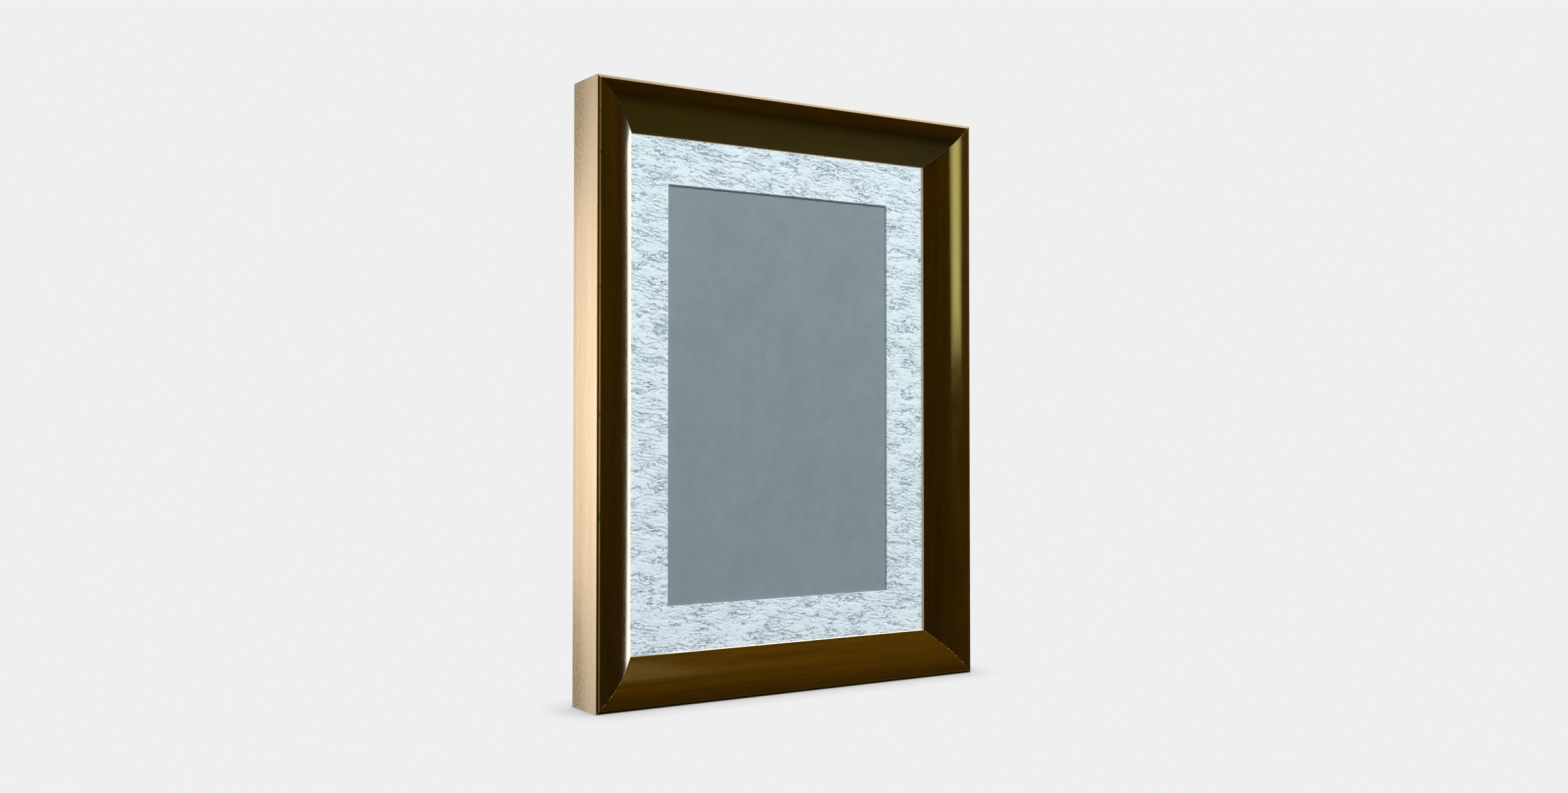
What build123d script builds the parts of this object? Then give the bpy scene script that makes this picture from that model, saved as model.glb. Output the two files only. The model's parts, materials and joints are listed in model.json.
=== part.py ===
from build123d import *
from math import asin, cos, radians, degrees, sin, sqrt
import os

os.makedirs("parts", exist_ok=True)

# A deep display frame: four mitred rails with a dark rolled face and a rebate behind,
# a glazed package of boards in the rebate, turn buttons that hold it in, and two hangers.
# Millimetres. X runs to the right, Y from the front to the wall, Z up from the base.

# ---- sight opening and rails ----
sight_w = 297.0            # opening between the rails, an A3 sheet
sight_h = 420.0
face_w = 39.2              # width of a rail seen from the front
rail_depth = 43.05         # from the outer land to the back of the rail
crown = 1.0                # how far the main face stands proud of the outer land
land_w = 2.0               # flat outer land beside the edge
shoulder_w = 0.9           # slanted step from the land up to the main face
flat_end = 9.0             # where the main face starts to roll inward
roll_radius = 23.8         # first, tighter part of the roll
roll_turn = 36.0           # degrees turned by that part
slope_radius = 91.0        # second, slower part, down to the sight edge
lip_thick = 3.0            # wood between the sight edge and the rebate
rebate_w = 6.5
arris_r = 0.6

# ---- the package in the rebate, from front to back ----
fit_gap = 1.5              # room round the package in the rebate
felt_thick = 0.4
felt_w = 5.0
glazing_thick = 2.0
mat_thick = 2.4
mat_margin = 37.35         # width of mat seen all round the window
art_thick = 0.6
art_overlap = 10.0         # the sheet reaches this far behind the mat
tape_thick = 0.2
mount_thick = 1.6
foam_thick = 5.0
backing_thick = 4.0

# ---- fastenings ----
bumper_h = 5.0
bumper_r = 6.5
button_w = 9.0
button_reach = 24.0        # from the pivot to the tip
button_thick = 1.2
button_gap = 0.15          # play below and above the turning plate
button_inset = 8.0         # pivot to rebate edge
button_tab = 5.0           # finger tab at the tip
tab_rise = 20.0            # degrees
button_screw_r = 1.4
pivot_play = 0.06
button_span_x = 150.0      # between the two buttons of a top or bottom rail
button_z = (130.0, 410.0)  # heights of the buttons of a side rail
strap_w = 12.0
strap_t = 1.0              # one layer of the folded strap
strap_len = 42.0
ring_wire_r = 1.2
ring_half_w = 9.7          # middle of the wire
ring_leg = 4.8
ring_corner_r = 2.2
ring_tilt = 5.0            # degrees out from hanging straight down
eye_play = 0.08
hanger_z = 352.0
hanger_inset = 16.0        # pivot's middle from the rail's outer edge
hanger_screw_r = 1.7
hanger_hole_steps = (22.0, 35.0)

# ---- derived places ----
outer_w = sight_w + 2 * face_w
outer_h = sight_h + 2 * face_w
total_depth = crown + rail_depth + bumper_h
y_crown = -total_depth / 2
y_land = y_crown + crown
y_back = y_land + rail_depth
y_wall = total_depth / 2
mid_z = outer_h / 2
diagonal = sqrt(2)

roll_s = flat_end + roll_radius * sin(radians(roll_turn))
slope_end = asin(sin(radians(roll_turn)) + (face_w - roll_s) / slope_radius)
slope_turn = degrees(slope_end) - roll_turn
sight_d = (
    roll_radius * (1 - cos(radians(roll_turn)))
    + slope_radius * (cos(radians(roll_turn)) - cos(slope_end))
    - crown
)
rebate_s = face_w - rebate_w
shoulder_d = sight_d + lip_thick
print(f"sight edge {sight_d:.2f} behind the land, end slope {degrees(slope_end):.1f} deg")

y_shoulder = y_land + shoulder_d
y_glazing = y_shoulder + felt_thick
y_mat = y_glazing + glazing_thick
y_art = y_mat + mat_thick
y_tape = y_art + art_thick
y_mount = y_tape + tape_thick
y_foam = y_mount + mount_thick
y_foam_rear = y_foam + foam_thick
y_backing = y_foam_rear + foam_thick
print(f"backing lies {y_back - y_backing - backing_thick:.2f} below the rail backs")

pack_w = sight_w + 2 * (rebate_w - fit_gap)
pack_h = sight_h + 2 * (rebate_w - fit_gap)
window_w = sight_w - 2 * mat_margin
window_h = sight_h - 2 * mat_margin
art_w = window_w + 2 * art_overlap
art_h = window_h + 2 * art_overlap


def wall_plane(x, y, z):
    """Plane parallel to the wall: local x to the right, local y up, normal to the front."""
    return Plane(origin=(x, y, z), x_dir=(1, 0, 0), z_dir=(0, -1, 0))


def back_plane(x, z):
    """Plane on the rail backs with its normal pointing away from them, to the wall."""
    return Plane(origin=(x, y_back, z), x_dir=(1, 0, 0), z_dir=(0, 1, 0))


def finish(part, name):
    """Label a finished piece and write it to its own file."""
    part.label = name
    export_step(part, f"parts/{name}.step")


def board(name, width, height, y_front, thick):
    """A flat sheet centred on the sight opening, with its front face at y_front."""
    with BuildPart() as sheet:
        with BuildSketch(wall_plane(0, y_front, mid_z)):
            Rectangle(width, height)
        extrude(amount=-thick)
    finish(sheet.part, name)


# ---- where things sit along the rails ----
side_x = outer_w / 2 - rebate_s + button_inset
rim_z = rebate_s - button_inset
buttons = {
    "turn_button_left_lower": (-side_x, button_z[0], 0),
    "turn_button_left_upper": (-side_x, button_z[1], 0),
    "turn_button_right_lower": (side_x, button_z[0], 180),
    "turn_button_right_upper": (side_x, button_z[1], 180),
    "turn_button_bottom_left": (-button_span_x / 2, rim_z, 90),
    "turn_button_bottom_right": (button_span_x / 2, rim_z, 90),
    "turn_button_top_left": (-button_span_x / 2, outer_h - rim_z, -90),
    "turn_button_top_right": (button_span_x / 2, outer_h - rim_z, -90),
}
hanger_x = outer_w / 2 - hanger_inset
eye_r = ring_wire_r + eye_play
pivot_rise = strap_t + eye_r
hangers = {"left": -hanger_x, "right": hanger_x}
corners = {
    "bottom_left": (-1, 0),
    "bottom_right": (1, 0),
    "top_left": (-1, 1),
    "top_right": (1, 1),
}


# ---- corner V-nails, driven into the mitres from behind ----
nail_length = 12.0
nail_wing = 3.6
nail_wall = 0.7
nail_places = (10.0, 24.0)   # distance from the outer edge of both rails

with BuildPart() as corner_v_nails:
    for side, top in corners.values():
        inward = (-side, 0, 1 - 2 * top)
        start = (side * outer_w / 2, y_back, top * outer_h)
        with BuildSketch(Plane(origin=start, x_dir=inward, z_dir=(0, -1, 0))):
            with Locations(*[(place * diagonal, 0) for place in nail_places]):
                Polygon(
                    (0, 0),
                    (-nail_wing, nail_wing),
                    (-nail_wing + nail_wall, nail_wing + nail_wall),
                    (nail_wall * 2, 0),
                    (-nail_wing + nail_wall, -nail_wing - nail_wall),
                    (-nail_wing, -nail_wing),
                    align=None,
                )
        extrude(amount=nail_length)
finish(corner_v_nails.part, "corner_v_nails")


# ---- screws: heads as radius and height, lengths under the head ----
button_screw_head = (2.9, 1.9)
button_screw_length = 14.0
hanger_screw_head = (3.4, 2.1)
hanger_screw_length = 18.0
head_rim = 0.25              # straight rim of a head, as a share of its height
recess_depth = 0.55          # depth of the cross recess, as the same share
recess_length = 1.25         # length and width of its slots, as shares of the head's radius
recess_width = 0.26
point_length = 2.4           # in shank radii


def screws(places, rise, shank_r, head, length):
    """A set of equal pan-head screws standing on the rail backs, heads raised by rise."""
    head_r, head_h = head
    slot_l = head_r * recess_length
    slot_w = head_r * recess_width
    point = point_length * shank_r
    with BuildPart() as group:
        for x, z in places:
            under_head = back_plane(x, z).offset(rise)
            axis_plane = Plane(origin=under_head.origin, x_dir=(1, 0, 0), z_dir=(0, 0, 1))
            with BuildSketch(axis_plane):
                with BuildLine():
                    Polyline(
                        (0, head_h), (0, -length), (shank_r, point - length),
                        (shank_r, 0), (head_r, 0), (head_r, head_h * head_rim),
                    )
                    TangentArc((0, head_h), (head_r, head_h * head_rim), tangent=(1, 0))
                make_face()
            revolve(axis=Axis(under_head.origin, (0, 1, 0)))
            with BuildSketch(under_head.offset(head_h)):
                Rectangle(slot_l, slot_w)
                Rectangle(slot_w, slot_l)
            extrude(amount=-head_h * recess_depth, mode=Mode.SUBTRACT)
    return group.part


button_head_rise = 2 * button_gap + button_thick
button_places = [(x, z) for x, z, turn in buttons.values()]
button_screws = screws(
    button_places, button_head_rise, button_screw_r, button_screw_head, button_screw_length
)
finish(button_screws, "turn_button_screws")

hanger_places = [(x, hanger_z - step) for x in hangers.values() for step in hanger_hole_steps]
strap_screws = screws(
    hanger_places, 2 * strap_t, hanger_screw_r, hanger_screw_head, hanger_screw_length
)
finish(strap_screws, "hanger_screws")


# ---- the four mitred rails ----
def rail(name, length, origin, along, inward):
    """One mitred rail: its section runs along its edge, cut at 45 degrees at both ends."""
    origin = Vector(*origin)
    along = Vector(*along)
    inward = Vector(*inward)
    section = Plane(origin=origin, x_dir=inward, z_dir=-along)
    front = Plane(origin=origin, x_dir=along, z_dir=along.cross(inward))
    with BuildPart() as timber:
        with BuildSketch(section) as outline:
            with BuildLine():
                edge = Polyline(
                    (rebate_s, rail_depth), (0, rail_depth), (0, 0), (land_w, 0),
                    (land_w + shoulder_w, -crown), (flat_end, -crown),
                )
                roll = JernArc(edge @ 1, (1, 0), roll_radius, roll_turn)
                slope = JernArc(roll @ 1, roll % 1, slope_radius, slope_turn)
                Polyline(
                    slope @ 1, (face_w, shoulder_d), (rebate_s, shoulder_d),
                    (rebate_s, rail_depth),
                )
            make_face()
            fillet(outline.vertices().group_by(Axis.Y)[-1].sort_by(Axis.X)[0:1], arris_r)
        extrude(amount=length / 2, both=True)
        with BuildSketch(front):
            with BuildLine():
                Polyline(
                    (-length / 2, 0), (length / 2, 0), (length / 2 - face_w, face_w),
                    (face_w - length / 2, face_w), close=True,
                )
            make_face()
        extrude(amount=2 * rail_depth, both=True, mode=Mode.INTERSECT)
        add(corner_v_nails.part, mode=Mode.SUBTRACT)
        add(button_screws, mode=Mode.SUBTRACT)
        add(strap_screws, mode=Mode.SUBTRACT)
    finish(timber.part, name)


rail("rail_bottom", outer_w, (0, y_land, 0), (1, 0, 0), (0, 0, 1))
rail("rail_top", outer_w, (0, y_land, outer_h), (-1, 0, 0), (0, 0, -1))
rail("rail_left", outer_h, (-outer_w / 2, y_land, mid_z), (0, 0, -1), (1, 0, 0))
rail("rail_right", outer_h, (outer_w / 2, y_land, mid_z), (0, 0, 1), (-1, 0, 0))


# ---- felt strips on the rebate shoulder, in front of the glazing ----
felt_edge = 0.8              # the felt stays this far behind the sight edge
felt_joint = 0.5             # gap where two strips meet
strip_w = sight_w + 2 * (felt_edge + felt_w)
strip_h = sight_h + 2 * (felt_edge - felt_joint)
with BuildPart() as rebate_felt:
    with BuildSketch(wall_plane(0, y_shoulder, mid_z)):
        with GridLocations(0, sight_h + 2 * felt_edge + felt_w, 1, 2):
            Rectangle(strip_w, felt_w)
        with GridLocations(sight_w + 2 * felt_edge + felt_w, 0, 2, 1):
            Rectangle(felt_w, strip_h)
    extrude(amount=-felt_thick)
finish(rebate_felt.part, "rebate_felt")

# ---- glazing, mat, sheet and boards ----
board("glazing", pack_w, pack_h, y_glazing, glazing_thick)

with BuildPart() as window_mat:
    with BuildSketch(wall_plane(0, y_mat, mid_z)):
        Rectangle(pack_w, pack_h)
        Rectangle(window_w, window_h, mode=Mode.SUBTRACT)
    extrude(amount=-mat_thick)
finish(window_mat.part, "window_mat")

board("art_panel", art_w, art_h, y_art, art_thick)

# two paper tabs under the head of the sheet carry it on the mount board
tab_w = 24.0
tab_h = 28.0
tab_spread = 150.0
tab_rise_over_sheet = 2.0    # middle of a tab above the head of the sheet
with BuildPart() as art_hinges:
    with BuildSketch(wall_plane(0, y_tape, mid_z + art_h / 2 + tab_rise_over_sheet)):
        with GridLocations(tab_spread, 0, 2, 1):
            Rectangle(tab_w, tab_h)
    extrude(amount=-tape_thick)
finish(art_hinges.part, "art_hinges")

# linen tape that joins mat and mount board along their head, like a book
book_tape_h = 12.0
book_tape_short = 3.0        # it stops this far from each side of the package
with BuildPart() as mat_hinge_tape:
    with BuildSketch(wall_plane(0, y_tape, mid_z + pack_h / 2 - book_tape_h / 2)):
        Rectangle(pack_w - 2 * book_tape_short, book_tape_h)
    extrude(amount=-tape_thick)
finish(mat_hinge_tape.part, "mat_hinge_tape")

board("mount_board", pack_w, pack_h, y_mount, mount_thick)
board("foam_board_front", pack_w, pack_h, y_foam, foam_thick)
board("foam_board_rear", pack_w, pack_h, y_foam_rear, foam_thick)
board("backing_board", pack_w, pack_h, y_backing, backing_thick)

# cork blocks under the package, on the rebate of the bottom rail
block_w = 30.0
block_spread = 190.0
with BuildPart() as setting_blocks:
    with BuildSketch(wall_plane(0, y_glazing, rebate_s + fit_gap / 2)):
        with GridLocations(block_spread, 0, 2, 1):
            Rectangle(block_w, fit_gap)
    extrude(amount=y_glazing - y_backing)
finish(setting_blocks.part, "setting_blocks")


# ---- turn buttons ----
bend_ease = 0.2              # the inside of the bend starts this much sooner
tip_rounding = 0.3           # corner radius of the tip, as a share of the width
tip_cover = 2.0              # the square part ends this far inside the rounded tip


def turn_button(name, x, z, turn):
    """A flat plate that turns on its screw, with a finger tab bent up at the tip."""
    low = y_back + button_gap
    reach = Vector(1, 0, 0).rotate(Axis.Y, -turn)
    side_view = Plane(origin=(x, low, z), x_dir=reach, z_dir=reach.cross(Vector(0, 1, 0)))
    top_view = Plane(origin=(x, low, z), x_dir=reach, z_dir=(0, 1, 0))
    bend = button_reach - button_tab
    rise = button_tab * sin(radians(tab_rise))
    with BuildPart() as plate:
        with BuildSketch(side_view):
            with BuildLine():
                Polyline(
                    (-button_w, 0), (bend, 0), (button_reach, rise),
                    (button_reach, rise + button_thick), (bend - bend_ease, button_thick),
                    (-button_w, button_thick), close=True,
                )
            make_face()
        extrude(amount=button_w, both=True)
        with BuildSketch(top_view):
            Circle(button_w / 2)
            with Locations(((button_reach - tip_cover) / 2, 0)):
                Rectangle(button_reach - tip_cover, button_w)
            with Locations((button_reach - button_w / 2, 0)):
                RectangleRounded(button_w, button_w, button_w * tip_rounding)
        extrude(amount=4 * button_thick, both=True, mode=Mode.INTERSECT)
        with Locations(top_view):
            Hole(button_screw_r + pivot_play, depth=4 * button_thick)
    finish(plate.part, name)


for button_name, (button_x, button_height, button_turn) in buttons.items():
    turn_button(button_name, button_x, button_height, button_turn)


# ---- strap hangers: a folded strap screwed on, and a ring that swings in its eye ----
fold_start = 3.4             # where the upper layer leaves the lower one, below the pivot
fold_out = 0.9               # where it meets the eye, outside the pivot's middle
fold_drop = 0.7              # and below the eye's bore
fold_foot = 0.2              # the same drop on the lower layer
tail_rounding = 0.3          # corner radius of the strap's end, as a share of its width


def hanger(side, x):
    """The strap and the ring of one hanger."""
    foot = Plane(origin=(x, y_back, hanger_z), x_dir=(0, 1, 0), z_dir=(1, 0, 0))
    with BuildPart() as strap:
        with BuildSketch(foot):
            with BuildLine():
                Polyline((0, 0), (strap_t, 0), (strap_t, -strap_len), (0, -strap_len), close=True)
            make_face()
            with BuildLine():
                Polyline(
                    (strap_t, -strap_len), (2 * strap_t, -strap_len),
                    (2 * strap_t, -fold_start), (pivot_rise + fold_out, -eye_r - fold_drop),
                    (strap_t, -eye_r - fold_foot), close=True,
                )
            make_face()
            with Locations((pivot_rise, 0)):
                Circle(eye_r + strap_t)
                Circle(eye_r, mode=Mode.SUBTRACT)
        extrude(amount=strap_w / 2, both=True)
        tail = strap.edges().filter_by(Axis.Y).group_by(Axis.Z)[0]
        fillet(tail, strap_w * tail_rounding)
        for step in hanger_hole_steps:
            with Locations(back_plane(x, hanger_z - step)):
                Hole(hanger_screw_r, depth=4 * strap_t)
    finish(strap.part, f"hanger_strap_{side}")

    tilt = radians(ring_tilt)
    pivot = (x, y_back + pivot_rise, hanger_z)
    hanging = Plane(origin=pivot, x_dir=(1, 0, 0), z_dir=(0, cos(tilt), sin(tilt)))
    half_bar = ring_half_w - ring_corner_r
    with BuildPart() as ring:
        with BuildLine(hanging) as wire:
            bar = Line((-half_bar, 0), (half_bar, 0))
            turn_right = TangentArc(bar @ 1, (ring_half_w, ring_corner_r), tangent=bar % 1)
            leg_right = Line(turn_right @ 1, (ring_half_w, ring_leg))
            bow = TangentArc(leg_right @ 1, (-ring_half_w, ring_leg), tangent=leg_right % 1)
            leg_left = Line(bow @ 1, (-ring_half_w, ring_corner_r))
            TangentArc(leg_left @ 1, bar @ 0, tangent=leg_left % 1)
        with BuildSketch(Plane(origin=bar @ 0.5, z_dir=bar % 0.5)):
            Circle(ring_wire_r)
        sweep(path=wire.line)
    finish(ring.part, f"hanger_ring_{side}")


for hanger_side, hanger_place in hangers.items():
    hanger(hanger_side, hanger_place)


# ---- bumpers that keep the frame off the wall ----
bumper_inset = 14.0
bumper_taper = 8.0           # degrees
bumper_rounding = 1.4
with BuildPart() as wall_bumpers:
    for side, top in corners.values():
        bumper_x = side * (outer_w / 2 - bumper_inset)
        bumper_z = top * outer_h + (1 - 2 * top) * bumper_inset
        with BuildSketch(back_plane(bumper_x, bumper_z)):
            Circle(bumper_r)
        extrude(amount=bumper_h, taper=bumper_taper)
    rims = wall_bumpers.edges().filter_by(GeomType.CIRCLE).group_by(Axis.Y)[-1]
    fillet(rims, bumper_rounding)
finish(wall_bumpers.part, "wall_bumpers")
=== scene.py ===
"""Deep display frame: bare maple rails with a stained face, a rough mat and its hardware.

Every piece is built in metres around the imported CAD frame. X runs to the right, Y from the
front to the wall, Z up from the base.
"""

import json
import logging
import math
from dataclasses import dataclass
from enum import Enum

import bmesh
import bpy
from mathutils import Matrix, Vector, noise

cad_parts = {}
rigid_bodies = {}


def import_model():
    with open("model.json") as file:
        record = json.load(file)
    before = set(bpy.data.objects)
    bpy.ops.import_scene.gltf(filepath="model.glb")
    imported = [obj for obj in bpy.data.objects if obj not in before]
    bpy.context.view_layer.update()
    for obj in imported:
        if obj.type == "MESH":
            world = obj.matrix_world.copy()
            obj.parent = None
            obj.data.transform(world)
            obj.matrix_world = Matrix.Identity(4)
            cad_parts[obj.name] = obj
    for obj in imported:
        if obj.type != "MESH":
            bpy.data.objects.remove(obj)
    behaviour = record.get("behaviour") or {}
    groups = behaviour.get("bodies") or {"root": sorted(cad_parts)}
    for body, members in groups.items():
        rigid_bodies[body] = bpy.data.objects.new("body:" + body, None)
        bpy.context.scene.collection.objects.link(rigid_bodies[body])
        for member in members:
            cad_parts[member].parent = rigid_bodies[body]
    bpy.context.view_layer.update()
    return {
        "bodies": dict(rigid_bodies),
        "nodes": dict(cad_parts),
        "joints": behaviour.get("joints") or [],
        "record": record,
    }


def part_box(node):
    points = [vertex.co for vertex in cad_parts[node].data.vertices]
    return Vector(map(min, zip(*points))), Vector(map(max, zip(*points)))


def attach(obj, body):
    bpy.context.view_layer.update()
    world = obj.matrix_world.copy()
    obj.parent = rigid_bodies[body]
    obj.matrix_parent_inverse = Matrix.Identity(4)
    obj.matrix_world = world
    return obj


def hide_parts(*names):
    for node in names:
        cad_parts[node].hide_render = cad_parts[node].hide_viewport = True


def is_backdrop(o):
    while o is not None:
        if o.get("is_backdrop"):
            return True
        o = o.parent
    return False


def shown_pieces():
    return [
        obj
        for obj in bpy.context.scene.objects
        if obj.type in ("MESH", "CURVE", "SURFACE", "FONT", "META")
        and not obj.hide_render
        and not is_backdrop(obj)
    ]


MM = 0.001
HAIR = 1e-6
BODY = "frame"
UNIT = (0.0, 1.0)
log = logging.getLogger("display_frame")

Colour = tuple[float, float, float, float]
Triple = tuple[float, float, float]
Socket = bpy.types.NodeSocket
Material = bpy.types.Material
Piece = bpy.types.Object
Mesh = bmesh.types.BMesh
Vert = bmesh.types.BMVert
Edge = bmesh.types.BMEdge


def screen(red: float, green: float, blue: float) -> Colour:
    """Turn a screen colour into linear light.

    Args:
        red: Red from 0 to 255.
        green: Green from 0 to 255.
        blue: Blue from 0 to 255.

    Returns:
        The linear colour with full alpha.
    """
    linear = []
    for value in (red, green, blue):
        share = value / 255
        linear.append(share / 12.92 if share <= 0.04045 else ((share + 0.055) / 1.055) ** 2.4)
    return (*linear, 1.0)


# ---- node graphs


class Graph:
    """The shader nodes of a material or a world, with short calls to add and join them."""

    def __init__(self, owner: Material | bpy.types.World) -> None:
        """Empty the owner's node tree.

        Args:
            owner: The material or world.
        """
        self.owner = owner
        owner.use_nodes = True
        self.tree = owner.node_tree
        self.tree.nodes.clear()

    @classmethod
    def of_material(cls, name: str) -> "Graph":
        """Make an empty material of a name and return its graph."""
        return cls(bpy.data.materials.new(name))

    def add(self, kind: str, inputs: dict | None = None, **settings) -> bpy.types.Node:
        """Add a node.

        Args:
            kind: Blender's name for the node type.
            inputs: Values or sockets for its inputs, by name or number.
            **settings: Properties of the node itself.

        Returns:
            The new node.
        """
        node = self.tree.nodes.new(kind)
        for key, value in settings.items():
            setattr(node, key, value)
        for key, value in (inputs or {}).items():
            if isinstance(value, Socket):
                self.tree.links.new(value, node.inputs[key])
            else:
                node.inputs[key].default_value = value
        return node

    def place(self, scale: Triple, layer: str = "", shift: float = 0.0) -> Socket:
        """Coordinates for a pattern.

        Args:
            scale: Pattern cells per metre along each axis.
            layer: Name of a UV layer, or empty for object coordinates.
            shift: Distance that the pattern is moved along all axes, in cells.

        Returns:
            The vector socket.
        """
        if layer:
            source = self.add("ShaderNodeUVMap", uv_map=layer).outputs[0]
        else:
            source = self.add("ShaderNodeTexCoord").outputs["Object"]
        inputs = {"Vector": source, "Scale": scale, "Location": (shift,) * 3}
        return self.add("ShaderNodeMapping", inputs).outputs[0]

    def cloud(
        self,
        scale: Triple,
        layer: str = "",
        shift: float = 0.0,
        detail: float = 3.0,
        roughness: float = 0.5,
        distortion: float = 0.0,
    ) -> Socket:
        """Noise between 0 and 1.

        Args:
            scale: Pattern cells per metre along each axis.
            layer: Name of a UV layer, or empty for object coordinates.
            shift: Distance that the pattern is moved along all axes, in cells.
            detail: Octaves.
            roughness: Strength of the finer octaves.
            distortion: How much the pattern is pulled about.

        Returns:
            The factor socket.
        """
        inputs = {
            "Vector": self.place(scale, layer, shift),
            "Scale": 1.0,
            "Detail": detail,
            "Roughness": roughness,
            "Distortion": distortion,
        }
        return self.add("ShaderNodeTexNoise", inputs).outputs[0]

    def ramp(self, factor: Socket, *stops: tuple[float, Colour]) -> Socket:
        """Colours along a factor.

        Args:
            factor: The socket that drives the ramp.
            *stops: Position and colour of each stop.

        Returns:
            The colour socket.
        """
        node = self.add("ShaderNodeValToRGB", {0: factor})
        elements = node.color_ramp.elements
        while len(elements) < len(stops):
            elements.new(0.5)
        for element, (position, colour) in zip(elements, stops):
            element.position = position
            element.color = colour
        return node.outputs[0]

    def span(self, value: Socket, low: float, high: float, to: tuple[float, float]) -> Socket:
        """Map a value from one span to another, smoothly and clamped.

        Args:
            value: The socket to map.
            low: Value that gives the first result.
            high: Value that gives the second result.
            to: The two results.

        Returns:
            The mapped socket.
        """
        inputs = {"Value": value, "From Min": low, "From Max": high}
        inputs |= {"To Min": to[0], "To Max": to[1]}
        node = self.add("ShaderNodeMapRange", inputs, interpolation_type="SMOOTHSTEP")
        return node.outputs[0]

    def mix(self, factor: Socket | float, a, b, blend: str = "MIX") -> Socket:
        """Mix two colours.

        Args:
            factor: Share of the second colour.
            a: First colour or socket.
            b: Second colour or socket.
            blend: Blend mode.

        Returns:
            The colour socket.
        """
        inputs = {0: factor, 6: a, 7: b}
        return self.add("ShaderNodeMix", inputs, data_type="RGBA", blend_type=blend).outputs[2]

    def maths(self, operation: str, a, b=0.0) -> Socket:
        """A sum on two numbers.

        Args:
            operation: Blender's name for the operation.
            a: First number or socket.
            b: Second number or socket.

        Returns:
            The result socket.
        """
        return self.add("ShaderNodeMath", {0: a, 1: b}, operation=operation).outputs[0]

    def bump(self, height: Socket, depth: float, strength: float = 1.0, under=None) -> Socket:
        """Fine relief from a height.

        Args:
            height: Height between 0 and 1.
            depth: Depth in metres that a height of 1 stands for.
            strength: Share of the effect.
            under: Normal from a coarser relief, if there is one.

        Returns:
            The normal socket.
        """
        inputs = {"Height": height, "Distance": depth, "Strength": strength}
        if under is not None:
            inputs["Normal"] = under
        return self.add("ShaderNodeBump", inputs).outputs[0]

    def surface(self, **values) -> Material:
        """Close the graph with a Principled surface.

        Args:
            **values: Inputs by name, with an underscore for each space.

        Returns:
            The finished material.
        """
        inputs = {name.replace("_", " "): value for name, value in values.items()}
        skin = self.add("ShaderNodeBsdfPrincipled", inputs)
        self.add("ShaderNodeOutputMaterial", {"Surface": skin.outputs[0]})
        return self.owner


# ---- finishes


@dataclass(frozen=True)
class StainedTimber:
    """Dark walnut stain under a satin varnish, with pores along the grain."""

    name: str = "stained_timber"
    deep: Colour = (0.0100, 0.0040, 0.0002, 1.0)
    low: Colour = (0.0270, 0.0118, 0.0004, 1.0)
    body: Colour = (0.0345, 0.0152, 0.0005, 1.0)
    glow: Colour = (0.0410, 0.0182, 0.0008, 1.0)
    sheen: Colour = (1.0, 0.93, 0.30, 1.0)

    def make(self) -> Material:
        """Build the material and return it."""
        g = Graph.of_material(self.name)
        figure = g.cloud((5, 85, 1), "grain", detail=3, roughness=0.6, distortion=0.4)
        fibre = g.cloud((26, 720, 1), "grain", 3.7, detail=3, roughness=0.62)
        pores = g.cloud((105, 1150, 1), "grain", 9.1, detail=2, roughness=0.55)
        colour = g.ramp(figure, (0.30, self.low), (0.5, self.body), (0.72, self.glow))
        streaks = g.ramp(fibre, (0.3, (0.4, 0.4, 0.4, 1)), (0.62, (1, 1, 1, 1)))
        colour = g.mix(0.34, colour, streaks, "MULTIPLY")
        fleck = g.span(pores, 0.61, 0.71, (0.0, 0.66))
        colour = g.mix(fleck, colour, self.deep)
        wear = g.cloud((40, 60, 1), "grain", 5.0, detail=4, roughness=0.6)
        rough = g.span(wear, 0.3, 0.7, (0.12, 0.18))
        relief = g.bump(fibre, 0.00002, 0.35)
        relief = g.bump(fleck, -0.00003, 0.5, relief)
        return g.surface(
            Base_Color=colour,
            Roughness=rough,
            Normal=relief,
            Specular_IOR_Level=0.5,
            Specular_Tint=self.sheen,
            IOR=1.5,
        )


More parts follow.
